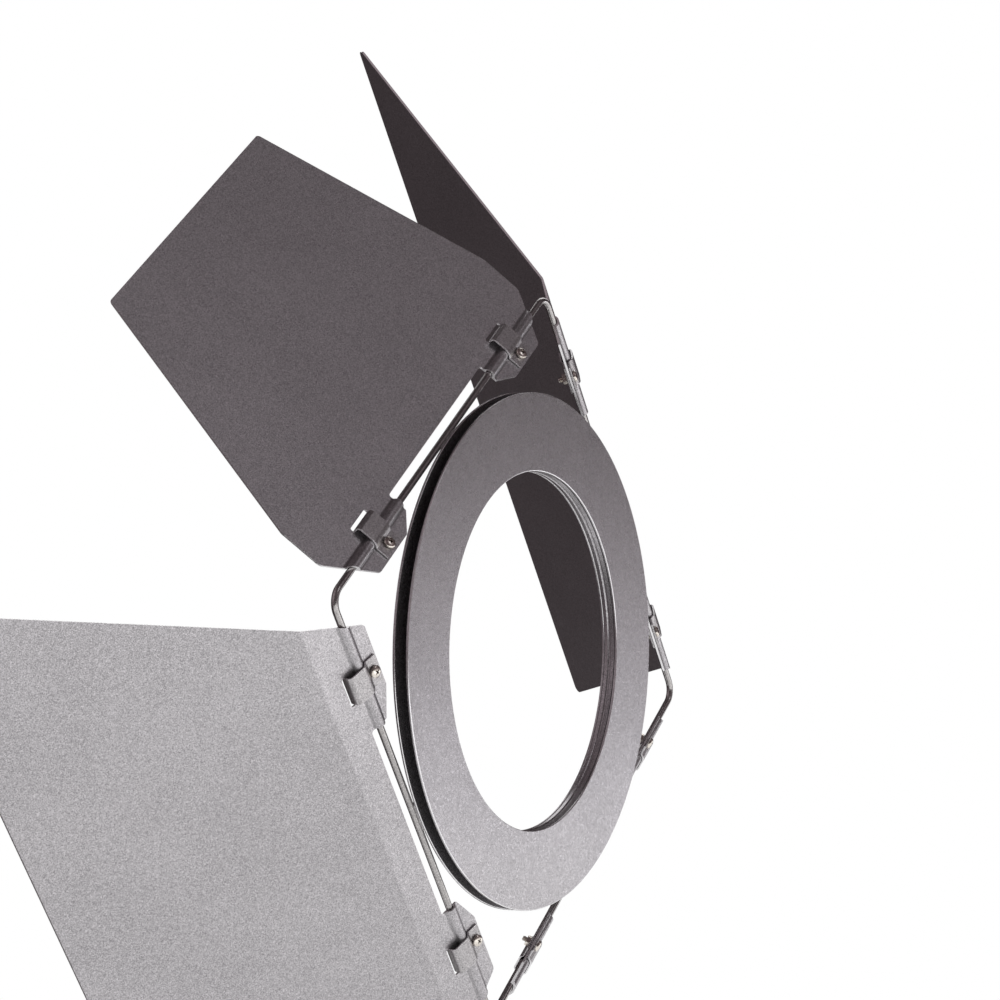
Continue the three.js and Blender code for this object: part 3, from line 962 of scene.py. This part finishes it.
@dataclass
class Hardware:
    """Clamp, screw and nut, modelled once in a leaf's own axes with the screw at the origin."""

    blank: LeafBlank
    strap_width: float = 17.0
    strap_sheet: float = 1.0
    strap_reach: float = 10.8
    strap_end: float = -12.4
    fold_radius: float = 1.6  # inside the strap's two folds
    ramp_inside: Flat = (-2.2, -4.2)  # where the inner arm climbs from the rod to the leaf
    ramp_outside: Flat = (-1.9, -3.8)
    screw_radius: float = 1.5
    thread_pitch: float = 0.5
    thread_depth: float = 0.28
    head_radius: float = 3.4
    head_height: float = 2.2
    head_rim: float = 0.15
    dome_rise: float = 1.25
    screw_end: float = -7.0
    recess_half: float = 1.75
    recess_depth: float = 1.3
    recess_width: float = 0.84
    recess_taper: float = 0.35  # the recess floor's share of its mouth
    recess_turn: float = 28.0  # degrees that the screw was turned when it was tightened
    nut_flats: float = 5.5
    nut_height: float = 2.4

    def strap_section(self) -> list[Flat]:
        """The folded strap's closed section.

        Returns:
            The section's points as (across, height) from the hinge line.
        """
        blank = self.blank
        flat = blank.sheet / 2 + blank.clearance
        over = blank.ridge_outer + blank.clearance
        under = blank.rod_radius + blank.clearance
        thick = self.strap_sheet
        inner_ramp = over * math.sqrt(2)
        outer_ramp = (over + thick) * math.sqrt(2)
        wall = self.strap_reach - thick
        fold = self.fold_radius
        corners = [  # across, height, corner radius
            (self.strap_end, flat, 0.0),
            (flat - inner_ramp, flat, 1.3),
            (over - inner_ramp, over, over),
            (wall, over, fold),
            (wall, -under, fold),
            (self.ramp_inside[0], -under, 0.8),
            (self.ramp_inside[1], -flat, 1.2),
            (self.strap_end, -flat, 0.0),
            (self.strap_end, -flat - thick, 0.0),
            (self.ramp_outside[1], -flat - thick, 0.6),
            (self.ramp_outside[0], -under - thick, 1.6),
            (self.strap_reach, -under - thick, fold + thick),
            (self.strap_reach, over + thick, fold + thick),
            (over + thick - outer_ramp, over + thick, over + thick),
            (flat + thick - outer_ramp, flat + thick, 0.5),
            (self.strap_end, flat + thick, 0.0),
        ]
        return rounded([(a, h) for a, h, _ in corners], [r for _, _, r in corners], 6)

    def strap(self) -> bpy.types.Object:
        """Extrudes the strap and drills its screw hole.

        Returns:
            The clamp's pattern.
        """
        half = mm(self.strap_width) / 2
        points = [(-half, mm(across), mm(height)) for across, height in self.strap_section()]
        strap = Bench.prism("clamp_pattern", points, (2 * half, 0, 0))
        Bench.combine(strap, self.drill(), "DIFFERENCE")
        Bench.soften(strap, mm(0.16))
        # The strap's cut ends count as edges and get the bright edge colour, partly a painted
        # highlight.
        Bench.mark_edges(strap, mm(0.15), lambda normal: abs(normal.x) > 0.98)
        return strap

    def drill(self, radius: float | None = None) -> bpy.types.Object:
        """A round cutter through the screw's place.

        Args:
            radius: The cutter's radius in millimetres; if left out, it clears the screw.

        Returns:
            The cutter.
        """
        Bench.clear()
        size = mm(radius or self.screw_radius + self.blank.clearance)
        place = (0, mm(self.blank.screw_across), 0)
        bpy.ops.mesh.primitive_cylinder_add(vertices=32, radius=size, depth=mm(30), location=place)
        drill = bpy.context.object
        Bench.apply_place(drill)
        return drill

    def at_screw(self, obj: bpy.types.Object) -> None:
        """Moves a turned piece from the origin to the screw's place."""
        obj.data.transform(Matrix.Translation((0, mm(self.blank.screw_across), 0)))

    def seat(self) -> float:
        """Height of the screw head's underside, and of the nut's face on the other side."""
        return self.blank.sheet / 2 + 2 * self.blank.clearance + self.strap_sheet

    def screw(self) -> bpy.types.Object:
        """Turns the screw with a domed head and thread crests, and cuts its cross recess.

        Returns:
            The screw's pattern.
        """
        seat = self.seat()
        top = seat + self.head_height
        outer, rim, end = self.screw_radius, self.head_rim, self.screw_end
        root = outer - self.thread_depth
        base = top - self.dome_rise
        dome = [
            (self.head_radius * math.cos(a), base + self.dome_rise * math.sin(a))
            for a in (math.radians(4 + 82 * step / 10) for step in range(11))
        ]
        head = [(self.head_radius - rim, seat), (self.head_radius, seat + rim), *dome]
        thread = []
        level = end + self.thread_pitch
        while level < -seat - self.nut_height + 0.6:
            thread += [(root, level), (outer, level + 0.2), (outer, level + 0.28)]
            level += self.thread_pitch
        foot = [(NEAR_AXIS, end), (root - 0.15, end), (root, end + 0.3)]
        shank = [(outer, level), (outer, seat)]
        profile = [(mm(r), mm(h)) for r, h in [*foot, *thread, *shank, *head, (NEAR_AXIS, top)]]
        screw = Bench.turned("screw_pattern", profile, 40)
        Bench.close(screw, mm(0.03))
        for quarter in range(2):
            Bench.combine(screw, self.recess_wing(top, quarter), "DIFFERENCE")
        Bench.shade(screw)
        Bench.mark_edges(screw, mm(0.12))
        # The cross recess, which the zinc finish darkens as painted shade.
        low, high = mm(top - 1.5), mm(top - 0.25)
        Bench.mark_shaded_hollow(
            screw, lambda spot: math.hypot(spot.x, spot.y) < mm(1.9) and low < spot.z < high
        )
        self.at_screw(screw)
        return screw

    def recess_wing(self, top: float, quarter: int) -> bpy.types.Object:
        """One tapered bar of the cross recess, narrower towards its floor.

        Args:
            top: Height of the screw's crown in millimetres.
            quarter: How many quarter turns the bar is turned by.

        Returns:
            The cutter.
        """
        mouth, floor = self.recess_half, self.recess_half * self.recess_taper
        high, low = top + 0.4, top - self.recess_depth
        corners = [(-mouth, high), (mouth, high), (floor, low), (-floor, low)]
        width = mm(self.recess_width)
        points = [(mm(along), -width / 2, mm(height)) for along, height in corners]
        wing = Bench.prism("recess_wing", points, (0, width, 0))
        turn = math.radians(self.recess_turn + 90 * quarter)
        wing.data.transform(Matrix.Rotation(turn, 4, "Z"))
        return wing

    def nut(self) -> bpy.types.Object:
        """A hexagon nut with chamfered corners and a bore.

        Returns:
            The nut's pattern.
        """
        top = -self.seat()
        middle = mm(top - self.nut_height / 2)
        corner = mm(self.nut_flats / math.sqrt(3))
        Bench.clear()
        bpy.ops.mesh.primitive_cylinder_add(
            vertices=6, radius=corner, depth=mm(self.nut_height), location=(0, 0, middle)
        )
        nut = bpy.context.object
        nut.name = "nut_pattern"
        Bench.apply_place(nut)
        wide, flat = corner * 1.02, mm(self.nut_flats / 2 - 0.05)
        half = mm(self.nut_height) / 2
        slope = (wide - flat) * 0.55
        low, high, axis = middle - half - mm(0.01), middle + half + mm(0.01), mm(NEAR_AXIS)
        lens = [
            (axis, low), (flat, low), (wide, middle - half + slope),
            (wide, middle + half - slope), (flat, high), (axis, high),
        ]
        cutter = Bench.turned("chamfer", lens, 48)
        Bench.close(cutter, mm(0.03))
        Bench.combine(nut, cutter, "INTERSECT")
        self.at_screw(nut)
        Bench.combine(nut, self.drill(self.screw_radius + 0.12), "DIFFERENCE")
        Bench.close(nut, mm(0.02))
        Bench.soften(nut, mm(0.07))
        Bench.mark_edges(nut, mm(0.13))
        return nut


@dataclass
class LeafPattern:
    """One kind of leaf, modelled once in its own axes: along, across and height."""

    blank: LeafBlank

    def sheet(self) -> bpy.types.Object:
        """Extrudes the sheet's section, cuts its outline, and punches slots and holes.

        Returns:
            The leaf's pattern.
        """
        blank = self.blank
        width = mm(blank.tip_half_width + blank.shoulder)
        section = [(-width, mm(across), mm(height)) for across, height in blank.section()]
        sheet = Bench.prism(f"{blank.kind.value}_pattern", section, (2 * width, 0, 0))
        low = -mm(blank.reach)
        outline = [(mm(along), mm(across), low) for along, across in blank.outline()]
        Bench.combine(sheet, Bench.prism("outline", outline, (0, 0, -low + mm(10))), "INTERSECT")
        for side in (-1, 1):
            Bench.combine(sheet, self.slot_punch(side), "DIFFERENCE")
            Bench.combine(sheet, self.hole_punch(side), "DIFFERENCE")
        Bench.soften(sheet, mm(0.2))
        # Cut rims count as edges: bright as worn paint, and partly a painted highlight.
        Bench.mark_edges(sheet, mm(0.18), lambda normal: abs(normal.z) < 0.02)
        # Marks the concave fillets beside the ridge, which the coat darkens as painted shade.
        near, far = blank.fillet_span
        Bench.mark_shaded_hollow(
            sheet, lambda spot: near < abs(spot.y) < far and spot.z > mm(blank.sheet / 2 + 0.02)
        )
        return sheet

    def slot_punch(self, side: int) -> bpy.types.Object:
        """A cutter for the slot that the clamp folds through.

        Args:
            side: -1 or 1, for the leaf's two ends.

        Returns:
            The cutter.
        """
        length, near, far = self.blank.slot
        middle = side * self.blank.screw_along
        corners = [
            (middle - length / 2, near), (middle + length / 2, near),
            (middle + length / 2, far), (middle - length / 2, far),
        ]
        points = [(mm(x), mm(y), -mm(3)) for x, y in rounded(corners, self.blank.slot_corner, 4)]
        return Bench.prism("slot_punch", points, (0, 0, mm(6)))

    def hole_punch(self, side: int) -> bpy.types.Object:
        """A cutter for a screw hole.

        Args:
            side: -1 or 1, for the leaf's two ends.

        Returns:
            The cutter.
        """
        Bench.clear()
        place = (side * mm(self.blank.screw_along), mm(self.blank.screw_across), 0)
        bpy.ops.mesh.primitive_cylinder_add(
            vertices=32, radius=mm(self.blank.hole_radius), depth=mm(8), location=place
        )
        punch = bpy.context.object
        Bench.apply_place(punch)
        return punch


@dataclass
class Leaf:
    """A leaf with its hardware, standing on its side of the rod."""

    name: str
    kind: Kind
    tilt: float  # degrees from the ring's plane to the hinge strip, opening forwards
    hinge: str
    shelf: Shelf
    paints: Paints

    def place(self) -> Matrix:
        """Finds where the leaf stands.

        Returns:
            The matrix from the leaf's own axes to its place at rest.
        """
        joint = next(j for j in frame["joints"] if j["name"] == self.hinge)
        pin = Vector(joint["pos_m"])
        along = -Vector(joint["axis"])
        away = Vector((pin.x, 0, pin.z)).normalized()
        tilt = math.radians(self.tilt)
        across = away * math.cos(tilt) - AXLE * math.sin(tilt)
        height = away * math.sin(tilt) + AXLE * math.cos(tilt)
        basis = Matrix((along, across, height)).transposed().to_4x4()
        return Matrix.Translation(pin) @ basis

    def build(
        self, sheet: bpy.types.Object, hardware: dict[str, bpy.types.Object], screw_along: float
    ) -> None:
        """Copies the patterns to their places.

        Args:
            sheet: The leaf's pattern.
            hardware: Patterns of the clamp, screw and nut.
            screw_along: Distance from the leaf's middle to each screw, in millimetres.
        """
        place = self.place()
        leaf = Bench.copy(sheet, f"{self.name}_sheet", place)
        self.shelf.place(leaf, self.paints.leaf, "leaf_paint", self.name, self.name)
        finishes = {
            "clamp": (self.paints.clamp, "clamp_paint"),
            "screw": (self.paints.zinc, "zinc_plate"),
            "nut": (self.paints.zinc, "zinc_plate"),
        }
        for number, side in ((1, -1), (2, 1)):
            shift = Matrix.Translation((side * mm(screw_along), 0, 0))
            for part, (paint, slot) in finishes.items():
                node = f"{self.name}_{part}_{number}"
                piece = Bench.copy(hardware[part], f"{node}_piece", place @ shift)
                self.shelf.place(piece, paint, slot, self.name, node)


@dataclass
class LeafSet:
    """All four leaves."""

    shelf: Shelf
    paints: Paints
    settings: Sequence[tuple[str, Kind, float]] = field(default_factory=lambda: (
        ("upper_narrow", Kind.NARROW, 37.0),
        ("upper_wide", Kind.WIDE, 27.6),
        ("lower_narrow", Kind.NARROW, 37.0),
        ("lower_wide", Kind.WIDE, 16.5),
    ))

    def build(self) -> None:
        """Models each pattern once, then sets the leaves on their sides of the rod."""
        tools = Hardware(BLANKS[Kind.NARROW])
        hardware = {"clamp": tools.strap(), "screw": tools.screw(), "nut": tools.nut()}
        sheets = {kind: LeafPattern(BLANKS[kind]).sheet() for kind in Kind}
        for side, kind, tilt in self.settings:
            leaf = Leaf(f"{side}_leaf", kind, tilt, f"{side}_hinge", self.shelf, self.paints)
            leaf.build(sheets[kind], hardware, BLANKS[kind].screw_along)
        Bench.bin(*hardware.values(), *sheets.values())


# ---- Studio -------------------------------------------------------------------------------


@dataclass(frozen=True)
class Glow:
    """One soft bright patch of the room."""

    toward: Point
    strength: float
    focus: float  # a higher number makes a smaller patch


@dataclass
class Studio:
    """Glowing floor, soft light and the camera."""

    floor_drop: float = 0.10
    floor_middle: Flat = (-0.8, 2.35)
    floor_size: float = 5.4
    floor_light: float = 1.0
    floor_rise: float = 0.65  # how much brighter the floor grows towards the back
    eye: Vector = field(default_factory=lambda: Vector((1.6031, 0.8399, 0.0560)))
    look: Vector = field(default_factory=lambda: Vector((-0.8801, -0.4744, 0.01846)))
    lens: float = 114.08
    rise: float = -0.006
    dimness: float = 0.048
    shade: Colour = (1.0, 0.76, 0.82)  # the dim parts of the room are a little warm
    daylight: Colour = (0.96, 0.965, 1.0)
    glows: Sequence[Glow] = (
        Glow((-0.10, 0.90, 0.35), 0.11, 4.0),  # fill behind the lamp
        Glow((-0.12, 0.76, 0.63), 1.75, 80.0),  # high and behind, for the upper leaf
        Glow((0.75, -0.45, 0.50), 0.45, 4.0),  # wide light in front, on the right
        Glow((-0.86, 0.46, -0.22), 9.0, 130.0),  # low on the left, for the ring's foot
        Glow((-0.45, 0.84, -0.30), 1.6, 34.0),  # low and behind, for the lower leaf
    )
    lamp_place: Point = (-1.5, -0.73, 1.43)
    lamp_size: float = 1.6
    lamp_power: float = 12.0

    def camera(self) -> None:
        """Sets the camera at the height and angle of a person standing beside the lamp."""
        data = bpy.data.cameras.new("camera")
        data.lens = self.lens
        data.sensor_width = 36.0
        data.shift_y = self.rise
        data.clip_end = 60
        camera = bpy.data.objects.new("camera", data)
        camera.location = self.eye
        camera.rotation_euler = self.look.to_track_quat("-Z", "Y").to_euler()
        bpy.context.scene.collection.objects.link(camera)
        bpy.context.scene.camera = camera

    def floor(self) -> None:
        """Lays a glowing floor below the lowest reach of any leaf, whose emission lights the pieces
        from below.
        """
        place = (*self.floor_middle, CAD_BOX[0][2] - self.floor_drop)
        Bench.clear()
        bpy.ops.mesh.primitive_plane_add(size=self.floor_size, location=place)
        floor = bpy.context.object
        floor.name = "floor"
        Bench.apply_place(floor)
        desk = ShaderDesk.material("glowing_floor")
        spot = desk.node("ShaderNodeTexCoord", {}, {}, "Object")
        back = desk.node("ShaderNodeSeparateXYZ", {}, {"Vector": spot}, "Y")
        level = self.floor_light + back.over(0.9, 0.8) * self.floor_rise
        glow = desk.node(
            "ShaderNodeCombineColor", {}, {"Red": level, "Green": level, "Blue": level}
        )
        # The floor glows as a light: emission that lights the pieces, brighter towards the back.
        floor.data.materials.append(desk.wire({"Emission Color": glow}, {
            "Base Color": (0.1, 0.1, 0.1, 1), "Roughness": 0.9, "Emission Strength": 1.0,
        }))

    def room(self) -> None:
        """A dim room with soft bright patches, seen by the camera as a white backdrop."""
        world = bpy.data.worlds.new("room")
        bpy.context.scene.world = world
        desk = ShaderDesk(world)
        direction = desk.node("ShaderNodeTexCoord", {}, {}, "Generated")
        light: Signal | float = self.dimness
        for glow in self.glows:
            toward = Vector(glow.toward).normalized()
            facing = desk.node(
                "ShaderNodeVectorMath", {"operation": "DOT_PRODUCT"},
                {0: direction, 1: toward}, "Value",
            )
            light = light + facing.clamped() ** glow.focus * glow.strength
        tint = desk.blend((light * 0.9).clamped(), self.shade, self.daylight)
        desk.wire({"Strength": light, "Color": tint}, {})
        backdrop = desk.node(
            "ShaderNodeBackground", {}, {"Color": (1, 1, 1, 1), "Strength": 1.0}, "Background"
        )
        seen = desk.node("ShaderNodeLightPath", {}, {}, "Is Camera Ray")
        lit = Signal(desk, desk.shader.outputs["Background"])
        mix = desk.node("ShaderNodeMixShader", {}, {0: seen, 1: lit, 2: backdrop})
        desk.tree.links.new(mix.socket, desk.tree.nodes["World Output"].inputs["Surface"])

    def lamp(self) -> None:
        """Hangs a soft square light, high in front, that faces the object."""
        data = bpy.data.lights.new("front_top", "AREA")
        data.shape = "SQUARE"
        data.size = self.lamp_size
        data.energy = self.lamp_power
        light = bpy.data.objects.new("front_top", data)
        light.location = self.lamp_place
        light.rotation_euler = (-Vector(self.lamp_place)).to_track_quat("-Z", "Y").to_euler()
        light.visible_camera = False
        bpy.context.scene.collection.objects.link(light)

    def build(self) -> None:
        """Sets up the whole studio."""
        self.camera()
        self.floor()
        self.room()
        self.lamp()
        bpy.context.scene.view_settings.view_transform = "Standard"


def main() -> None:
    """Builds the studio and every piece in order."""
    logging.basicConfig(level=logging.INFO, format="%(name)s: %(message)s")
    Studio().build()
    paints = Paints()
    shelf = Shelf()
    Ring(shelf, paints).build()
    HingeRod(shelf, paints).build()
    LeafSet(shelf, paints).build()
    LOG.info("%d pieces", shelf.count)


if __name__ == "__main__":
    main()
